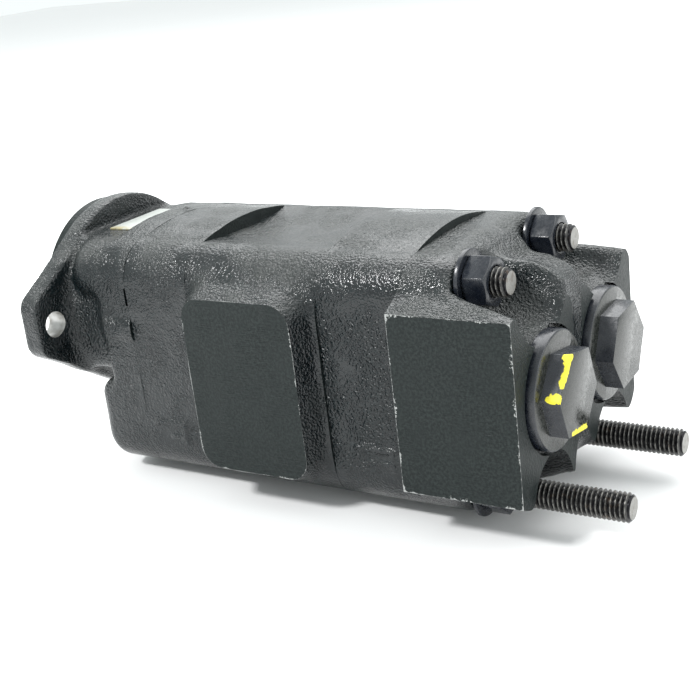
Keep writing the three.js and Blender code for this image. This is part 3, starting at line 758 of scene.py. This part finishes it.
STUDS = {f"{row}_{side}": (y, MIDDLE + z)
         for row, z in (("upper", STUD["z"]), ("lower", -STUD["z"]))
         for side, y in (("near", -STUD["y"]), ("far", STUD["y"]))}


# ---------------------------------------------------------------- castings
def pad_field(grid, pad, side):
    """A pad whose sides slope out to the body wall."""
    rectangle = overlap([between(grid.x, *pad["x"]), between(grid.z, *pad["z"])], pad["corner"])
    reach = side * grid.y
    slope = PAD_SPREAD * (PAD_FACE - np.maximum(reach, HALF_WIDTH - 4)) / (PAD_FACE - HALF_WIDTH)
    return overlap([(rectangle - slope) * 0.91, between(reach, 0, PAD_FACE + 2)], 0.5)


def stud_holes(start, stop, radius=6.0):
    return together([rod(start, stop, radius, y, z, 24) for y, z in STUDS.values()])


def dowel_holes(seam, side):
    low, high = (seam - 6.2, seam + 1) if side < 0 else (seam - 1, seam + 6.2)
    return together([rod(low, high, 3.06, y, z, 16) for y, z in DOWELS])


def pockets(start, stop, radius=BUSH_RADIUS):
    return together([rod(start, stop, radius, 0, z, 48) for z in (0, -CENTRES)])


def galleries(start, stop, sides=(-1, 1)):
    return together([rod(start, stop, GALLERY["radius"], side * GALLERY["y"], MIDDLE, 24) for side in sides])


def seal_groove(seam, side):
    """A racetrack groove around both gear bores."""
    inner, outer = SEAL_RING["radius"] - SEAL_RING["half"], SEAL_RING["radius"] + SEAL_RING["half"]
    low, high = sorted((seam - side, seam + side * SEAL_RING["depth"]))
    rings = []
    for radius in (inner, outer):
        rings.append(arc(0, 0, radius, 0, 180, 24) + arc(0, -CENTRES, radius, 180, 360, 24))
    count = len(rings[0])
    points = [(x, *p) for x in (low, high) for ring in rings for p in ring]
    faces = []
    for i in range(count):
        j = (i + 1) % count
        a, b, c, d = i, i + count, i + 2 * count, i + 3 * count
        e, f, g, h = j, j + count, j + 2 * count, j + 3 * count
        faces += [(a, b, f, e), (c, g, h, d), (a, e, g, c), (b, d, h, f)]
    return points, faces


def bored(*shapes):
    """Steps that take each shape away and leave bare iron."""
    return [("DIFFERENCE", shape, BARE) for shape in shapes]


def casting(name, grid, field, steps, materials):
    """A casting from its field, with lumps, then machined. The materials are cast, milled and bare."""
    uneven = 0.16 * grid.lumps(15.0, RANDOM_SEED) + 0.10 * grid.lumps(6.0, RANDOM_SEED + 1)
    field = field + uneven
    for axis in range(3):
        for side in (0, -1):
            border = [slice(None)] * 3
            border[axis] = side
            field[tuple(border)] = np.maximum(field[tuple(border)], 0.4)
    points, faces = sealed_net(grid, field)
    made = mesh_object(f"{name}_casting", points, faces)
    for material in materials:
        made.data.materials.append(material)
    outward(made)
    machine(made, steps)
    smooth(made)
    return finish_piece(made, "black_casting", name)


def shaft_end_cover(materials):
    g = Grid((-3, 50), (-66, 66), (-74, 46))
    outline = inside_outline(casting_outline(COVER_CROWN), g.y, g.z)
    flange = overlap([between(g.x, 0, FLANGE["thickness"]), inside_outline(flange_outline(), g.y, g.z)], 1.0)
    radius = NECK["radius"]
    neck = overlap([between(g.x, *NECK["x"]), np.hypot(g.y, g.z) - radius], 2)
    flank = overlap([between(g.x, *NECK["x"]), between(g.y, -radius, radius), between(g.z, *NECK["z"])], 4)
    level = inside_outline(casting_outline(0.0, COVER_CROWN), g.y, g.z)
    shoulder = overlap([between(g.x, SHOULDER_START, 60), outline], 2)
    band = overlap([between(g.x, BAND_START, 60), level], 3.5)
    upper = overlap([between(g.x, UPPER_STEP["x"], 60), level, between(g.z, UPPER_STEP["z"], 90)], 7)
    lower = overlap([between(g.x, LOWER_STEP["x"], 60), level, between(g.z, -120, LOWER_STEP["z"])], 7)
    body = merge(flange, merge(neck, flank, 5), 8)
    for part, reach in ((band, 5), (upper, 6), (lower, 5), (shoulder, 1)):
        body = merge(body, part, reach)
    # nothing behind the flange stands outside the casting's own outline
    room = np.where(g.x > FLANGE["thickness"] + 0.5, 1.6 * np.maximum(0, 18 - g.x), 99)
    body = np.maximum(body, outline - room)
    seat = overlap([between(g.x, FLANGE["thickness"] + 0.3, SEAT_END), between(g.z, PLATE["seat"], 60)], 1)
    body = carve(body, seat, 1.0)
    rib = overlap([between(g.x, RIB["x"], 60), between(-g.y, *RIB["y"]), between(g.z, *RIB["z"])], 1.2)
    body = merge(body, rib, 1.6)
    nub = overlap([between(g.x, *NUB["x"]), between(g.y, *NUB["y"]), between(g.z, *NUB["z"])], 1)
    body = merge(body, nub, 1)
    hole_y, pocket = FLANGE["hole_y"], COVER_BACK - BUSH_POCKET
    pilot = turned_mesh([(-PILOT["depth"], 0), (-PILOT["depth"], PILOT["radius"] - 0.8),
                         (-PILOT["depth"] + 0.8, PILOT["radius"]), (2, PILOT["radius"]), (2, 0)], sides=96)
    steps = [
        ("INTERSECT", block((-0.02, COVER_BACK - SEAM_GAP), BEYOND_Y, BEYOND_Z), MILLED),
        ("UNION", pilot, MILLED),
        *bored(
            together([rod(-1, 20, FLANGE["hole_radius"], y, 0, 48) for y in (-hole_y, hole_y)]),
            together([rod(24, 60, NUT["bore"], y, z, 24) for y, z in STUDS.values()]
                     + [rod(pocket, 60, BUSH_RADIUS, 0, -CENTRES, 48)]),
            rod(pocket, 60, BUSH_RADIUS, 0, 0, 48),
            dowel_holes(COVER_BACK, -1),
            rod(-10, SHAFT_SEAL["floor"], SHAFT_SEAL["radius"], 0, 0, 64),
            rod(0, 60, SHAFT_BORE, 0, 0, 48),
        ),
        ("DIFFERENCE", block((COVER_BACK - PRY_SLOT["depth"], 50), PRY_SLOT["y"], PRY_SLOT["z"]), CAST),
    ]
    return casting("shaft_end_cover", g, body, steps, materials)


def gear_housing(name, front, back, crown, marks, materials):
    g = Grid((front - 3, back + 3), (-48, 48), (-76, 44))
    field = overlap([between(g.x, front - 9, back + 9), inside_outline(casting_outline(crown), g.y, g.z)], 1)
    for x, z in marks:
        bar = overlap([between(g.x, *x), between(g.z, *z), between(-g.y, 40, HALF_WIDTH + MARK_HEIGHT)], 0.8)
        field = merge(field, bar, 1.0)
    ends = between(g.x, front - 2, back + 2)
    field = np.maximum(field, ends)
    bores = [rod(front - 1, back + 1, CHAMBER_RADIUS, 0, z, 96) for z in (0, -CENTRES)]
    width = GALLERY["y"]
    steps = [
        ("INTERSECT", block((front, back - SEAM_GAP), BEYOND_Y, BEYOND_Z), MILLED),
        *bored(
            stud_holes(front - 1, back + 1),
            *bores,
            block((front - 1, back + 1), (-width, width), (MIDDLE - 4, MIDDLE + 4)),
            galleries(front - 1, back + 1),
            seal_groove(front, 1),
            seal_groove(back - SEAM_GAP, -1),
            dowel_holes(front, 1),
            dowel_holes(back, -1),
        ),
    ]
    return casting(name, g, field, steps, materials)


def bearing_carrier(materials):
    front, back = FRONT_BACK, CARRIER_BACK
    g = Grid((front - 3, back + 3), (-60, 60), (-72, 38))
    outline = inside_outline(casting_outline(*CARRIER_CROWN), g.y, g.z)
    body = np.maximum(outline, between(g.x, front - 2, back + 2))
    for side in (-1, 1):
        body = merge(body, pad_field(g, CARRIER_PAD, side), 4)
    radius = INLET["radius"]
    steps = [
        ("INTERSECT", block((front, back - SEAM_GAP), (-PAD_FACE, PAD_FACE), BEYOND_Z), MILLED),
        *bored(
            stud_holes(front - 1, back + 1),
            pockets(front - 1, front + BUSH_POCKET),
            pockets(back - BUSH_POCKET, back + 1),
            rod(front, back, SHAFT_BORE, 0, 0, 48),
            galleries(front - 1, back + 1),
            rod_y(INLET["floor"], 70, radius, INLET["x"], MIDDLE, 96),
            rod_y(GALLERY["y"], INLET["floor"] + 1, radius / 2, INLET["x"], MIDDLE, 48),
            dowel_holes(front, 1),
            dowel_holes(back, -1),
        ),
    ]
    return casting("bearing_carrier", g, body, steps, materials)


def port_end_cover(materials):
    front = REAR_BACK
    g = Grid((front - 3, END_BACK + 4), (-61, 61), (-74, 40))
    outline = inside_outline(casting_outline(*END_CROWN), g.y, g.z)
    body = overlap([between(g.x, front - 12, 203), outline, inside_outline(BACK_SLOPE, g.x, g.z)], 3)
    core_x = between(g.x, front - 12, CORE["back"])
    core = overlap([core_x, between(g.y, *CORE["y"]), between(g.z, *CORE["z"])], 5)
    body = merge(body, core, 4)
    for side, edge in ((-1, 1.5), (1, 8.0)):
        reach = side * g.y
        flare = PAD_SPREAD * (PAD_FACE - np.maximum(reach, HALF_WIDTH - 4)) / (PAD_FACE - HALF_WIDTH)
        low, high = END_PAD["z"]
        high -= 0 if side < 0 else FAR_BLOCK_DROP
        profile = [between(g.x, front - 12, END_BACK + 8), between(g.z, low, high) - flare,
                   between(reach, 9, PAD_FACE + 1.5)]
        body = merge(body, overlap(profile, edge), 5)
    ridge = overlap([inside_outline(RIDGE, g.x, g.z), between(g.y, *RIDGE_Y)], 8)
    body = merge(body, ridge, 8)
    for name, (y, z) in STUDS.items():
        start, wide = NUT_SCOOP["radius"], NUT_SCOOP[name.split("_")[0]]
        from_axis = np.hypot(g.y - y, g.z - z)
        cone = (from_axis - start - (g.x - NUT_SEAT) * (wide - start) / NUT_SCOOP["length"]) * 0.95
        scoop = overlap([NUT_SEAT - g.x, cone], 1.2)
        body = carve(body, scoop, 5)
    body = np.maximum(body, between(g.x, front - 2, END_BACK + 2.5))
    rear_y = REAR_PORT["y"]

    def at_ports(start, radius, sides):
        return together([rod(start, 240, radius, y, MIDDLE, sides) for y in (-rear_y, rear_y)])

    steps = [
        ("INTERSECT", block((front, END_BACK), (-PAD_FACE, PAD_FACE), BEYOND_Z), MILLED),
        *bored(stud_holes(front - 1, 230)),
        ("DIFFERENCE", together([rod(NUT_SEAT - 0.3, 230, NUT_SCOOP["spot"], y, z, 64)
                                 for y, z in STUDS.values()]), CAST),
        ("DIFFERENCE", at_ports(REAR_PORT["spot_floor"], REAR_PORT["spot_radius"], 96), CAST),
        *bored(
            at_ports(REAR_PORT["floor"], REAR_PORT["radius"], 64),
            pockets(front - 1, front + BUSH_POCKET),
            galleries(front - 1, REAR_PORT["floor"] + 1, (-1,)),
            rod_y(-rear_y, rear_y, CROSSING["radius"], CROSSING["x"], MIDDLE, 32),
            rod_y(OUTLET["floor"], 70, OUTLET["radius"], OUTLET["x"], MIDDLE, 64),
            rod_y(rear_y, OUTLET["floor"] + 1, CROSSING["radius"],
                  OUTLET["x"] + CROSSING["radius"], MIDDLE, 32),
            dowel_holes(front, 1),
        ),
    ]
    return casting("port_end_cover", g, body, steps, materials)


# ---------------------------------------------------------------- hardware
def thread_radius(phase):
    """Radius of a 60 degree thread at a share of its pitch."""
    depth = 0.6 * THREAD_PITCH
    crest_flat, flank = 0.12, 0.76
    rise = abs(phase - 0.5) * 2
    return STUD["radius"] - depth * min(1.0, max(0.0, (rise - crest_flat) / flank))


def stud(name, material):
    y, z = STUDS[name]
    end = STUD["upper_end"] if name.startswith("upper") else STUD["lower_end"]
    plain_end = NUT_SEAT - 4
    sides, per_pitch, chamfer = 36, 10, 1.3
    relief = {STUD["start"]: 1.0, plain_end: 0.9}
    xs = [STUD["start"], STUD["start"] + 1.0, plain_end - 1.0, plain_end]
    count = int((end - plain_end) / THREAD_PITCH * per_pitch)
    xs += list(np.linspace(plain_end, end, count + 1)[1:])
    points, faces = [], []
    for x in xs:
        for i in range(sides):
            angle = 2 * math.pi * i / sides
            if x <= plain_end:
                radius = STUD["radius"] - relief.get(x, 0.0)
            else:
                radius = thread_radius((x / THREAD_PITCH - i / sides) % 1.0)
                radius = min(radius, STUD["radius"] - chamfer + (end - x))
            points.append((x, y + radius * math.cos(angle), z + radius * math.sin(angle)))
    for row in range(len(xs) - 1):
        for i in range(sides):
            j = (i + 1) % sides
            a = row * sides
            faces.append((a + i, a + j, a + sides + j, a + sides + i))
    faces.append(tuple(range(sides))[::-1])
    faces.append(tuple(range((len(xs) - 1) * sides, len(xs) * sides)))
    made = outward(mesh_object(f"{name}_tie_stud", points, faces))
    made.data.materials.append(material)
    smooth(made, 24)
    return finish_piece(made, "stud_steel", f"{name}_stud")


def hex_head(name, across_flats, start, stop, turn, y, z, material, both_ends=False, crown_share=0.95):
    """A hexagon with chamfered corners, whose flat end has crown_share of the radius inside the flats."""
    corner = across_flats / math.sqrt(3)
    crown = across_flats / 2 * crown_share
    drop = (corner - crown) * 0.55
    first = [(start, 0), (start, crown), (start + drop, corner + 0.05)] if both_ends else [
        (start, 0), (start, corner + 0.05)]
    profile = first + [(stop - drop, corner + 0.05), (stop, crown), (stop, 0)]
    outline = [(y + u, z + v) for u, v in hexagon(across_flats, turn)]
    made = outward(mesh_object(name, *prism(outline, start, stop)))
    made.data.materials.append(material)
    machine(made, [("INTERSECT", turned_mesh(profile, y, z, 96), 0)])
    return made


def tie_nut(name, material):
    y, z = STUDS[name]
    start = NUT_SEAT + WASHER["thickness"] + 0.1
    stop = start + NUT["thickness"]
    made = hex_head(f"{name}_hex_nut", NUT["across_flats"], start, stop, NUT_TURNS[name], y, z, material,
                    both_ends=True)
    wide, sink = 6.6, 0.6
    bore = turned_mesh([(start - 1, 0), (start - 1, wide), (start + sink, NUT["bore"]),
                        (stop - sink, NUT["bore"]), (stop + 1, wide), (stop + 1, 0)], y, z, 48)
    machine(made, [("DIFFERENCE", bore, 0)])
    bevelled(made, 0.22)
    smooth(made)
    return finish_piece(made, "black_steel", f"{name}_nut")


def tie_washer(name, material):
    y, z = STUDS[name]
    low, high = NUT_SEAT + 0.05, NUT_SEAT + 0.05 + WASHER["thickness"]
    outer, inner, edge = WASHER["radius"], WASHER["bore"], 0.45
    profile = [(low, inner), (low, outer - 0.2), (low + 0.2, outer), (high - edge, outer),
               (high - edge * 0.3, outer - edge * 0.3), (high, outer - edge), (high, inner)]
    made = outward(mesh_object(f"{name}_flat_washer", *turned_mesh(profile, y, z, 96)))
    made.data.materials.append(material)
    smooth(made, 40)
    return finish_piece(made, "black_steel", f"{name}_washer")


def port_plug(side, material):
    y = -REAR_PORT["y"] if side == "near" else REAR_PORT["y"]
    seat = REAR_PORT["spot_floor"] + 0.05
    thread, collar, back = PLUG["thread"], PLUG["collar"], PLUG["collar_back"]
    nose, bevel, groove = PLUG["nose"], 1.5, 2.4
    profile = [(nose, 0), (nose, thread - bevel), (nose + bevel, thread), (seat - 3, thread),
               (seat - 3, thread - groove), (seat, thread - groove),
               (seat, collar - 0.3), (seat + 0.3, collar), (back - 0.9, collar),
               (back - 0.3, collar - 0.3), (back, collar - 0.9), (back, 0)]
    made = hex_head(f"{side}_hex_plug", PLUG["across_flats"], back - 1, PLUG["back"], PLUG_TURNS[side],
                    y, MIDDLE, material, crown_share=1.14)
    machine(made, [("UNION", turned_mesh(profile, y, MIDDLE, 96), 0)])
    bevelled(made, 0.3)
    smooth(made)
    return finish_piece(made, "black_steel", f"{side}_port_plug")


def name_plate(material):
    low, high = PLATE["seat"] + 0.05, PLATE["seat"] + 0.05 + PLATE["thickness"]
    half_x, half_y = PLATE["length"] / 2, PLATE["width"] / 2
    x = (PLATE["x"] - half_x, PLATE["x"] + half_x)
    made = outward(mesh_object("blank_plate", *block(x, (-half_y, half_y), (low, high))))
    made.data.materials.append(material)
    bevelled(made, 0.25)
    smooth(made)
    return finish_piece(made, "blank_plate", "name_plate")


# ---------------------------------------------------------------- making the pieces
milled_side = milled_paint("milled_pads", [(dict(END_PAD, x=(REAR_BACK, END_BACK)), 1.5), (CARRIER_PAD, 0.9)])
milled_end = milled_paint("milled_ends", [])
bare = bare_iron("bare_iron")
shaft_end_cover([cast_paint("cast_cover", 0.0), milled_end, bare])
gear_housing("front_gear_housing", COVER_BACK, FRONT_BACK, FRONT_CROWN, FRONT_MARKS,
             [cast_paint("cast_front", 3.0), milled_end, bare])
bearing_carrier([cast_paint("cast_carrier", 5.0), milled_side, bare])
gear_housing("rear_gear_housing", CARRIER_BACK, REAR_BACK, REAR_CROWN, REAR_MARKS,
             [cast_paint("cast_rear", 9.0), milled_end, bare])
port_end_cover([cast_paint("cast_end", 14.0), milled_side, bare])

threads = stud_steel("stud_steel_finish")
black = gloss_black("black_steel_finish")
for place_name in STUDS:
    stud(place_name, threads)
    tie_nut(place_name, black)
    tie_washer(place_name, black)

corner_radius = PLUG["across_flats"] / math.sqrt(3)
face = PLUG["back"]
# each stroke's two ends, as (x, angle from the hexagon's turn, radius), and its half width
near_marks = [
    ((face, 122, corner_radius * 0.92), (face, 158, corner_radius * 0.88), 1.3),
    ((face - 1.0, 120, corner_radius * 0.98), (face, 118, corner_radius * 0.95), 1.6),
    ((face - 3.8, 178, corner_radius * 0.97), (face - 0.6, 176, corner_radius * 0.96), 1.5),
    ((face, 252, corner_radius * 0.86), (face, 297, corner_radius * 0.92), 1.1),
]
port_plug("near", plug_finish("near_plug_finish", -REAR_PORT["y"], PLUG_TURNS["near"], near_marks))
port_plug("far", plug_finish("far_plug_finish", REAR_PORT["y"], PLUG_TURNS["far"], []))
name_plate(plate_finish("plate_finish"))

steel = plain_metal("ground_steel", (0.42, 0.43, 0.44), (0.62, 0.63, 0.64), 0.28, 0.5, (1, 0.2, 0.2))
bronze = plain_metal("bearing_bronze", (0.46, 0.29, 0.12), (0.66, 0.45, 0.21), 0.34, 0.6)
seals = rubber("seal_rubber_finish")
for name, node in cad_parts.items():
    if node.hide_render:
        continue
    if name.endswith("bush") or name.endswith("thrust_plate"):
        finish = bronze
    elif name.endswith("seal") or name.endswith("o_ring"):
        finish = seals
    else:
        finish = steel
    node.data.materials.clear()
    node.data.materials.append(finish)


# ---------------------------------------------------------------- floor, light and camera
FLOOR_LEVEL = -72.5
FLOOR_REACH = 3000
SKY_COLOUR = (0.95, 1.0, 1.0, 1)
CAMERA = dict(place=(0.4030, -0.4154, 0.1546), right=(0.8454, 0.5221, -0.1127),
              forward=(-0.5275, 0.7827, -0.3303), lens=65.14, sensor=36.0)
LIGHT_AIM = (0.12, 0.0, -0.02)
# name, place, size, power
LIGHTS = [("top_light", (0.0, 0.9, 1.3), (2.4, 1.4), 38),
          ("rear_light", (1.5, 0.5, 0.7), (1.2, 1.0), 7),
          ("side_light", (-0.3, -1.1, 1.2), (0.3, 0.2), 24)]


def floor():
    r = FLOOR_REACH
    points = [(x, y, FLOOR_LEVEL) for x, y in ((-r, -r), (r, -r), (r, r), (-r, r))]
    made = mesh_object("floor", points, [(0, 1, 2, 3)])
    s = Shader("floor_finish")
    tone = s.noise(300.0, 2.0)
    s.set(Base_Color=s.mix(tone, colour(0.86, 0.86, 0.86), colour(0.88, 0.88, 0.88)), Roughness=0.8)
    made.data.materials.append(s.material)


def soft_light(name, place, size, power):
    light = bpy.data.lights.new(name, "AREA")
    light.shape = "RECTANGLE"
    light.size, light.size_y = size
    light.energy = power
    made = placed(name, light)
    made.location = place
    made.rotation_euler = (Vector(LIGHT_AIM) - Vector(place)).to_track_quat("-Z", "Y").to_euler()


def surroundings():
    world = bpy.data.worlds.new("studio")
    world.use_nodes = True
    background = world.node_tree.nodes["Background"]
    background.inputs["Color"].default_value = SKY_COLOUR
    background.inputs["Strength"].default_value = 1.0
    bpy.context.scene.world = world


def camera():
    data = bpy.data.cameras.new("camera")
    data.sensor_width = CAMERA["sensor"]
    data.lens = CAMERA["lens"]
    data.clip_start, data.clip_end = 0.01, 20.0
    made = placed("camera", data)
    right = Vector(CAMERA["right"]).normalized()
    forward = Vector(CAMERA["forward"]).normalized()
    up = right.cross(forward).normalized()
    right = forward.cross(up).normalized()
    turn = Matrix((right, up, -forward)).transposed().to_4x4()
    made.matrix_world = Matrix.Translation(CAMERA["place"]) @ turn
    bpy.context.scene.camera = made


floor()
surroundings()
for light in LIGHTS:
    soft_light(*light)
camera()
bpy.context.scene.view_settings.view_transform = "Standard"
bpy.context.view_layer.update()
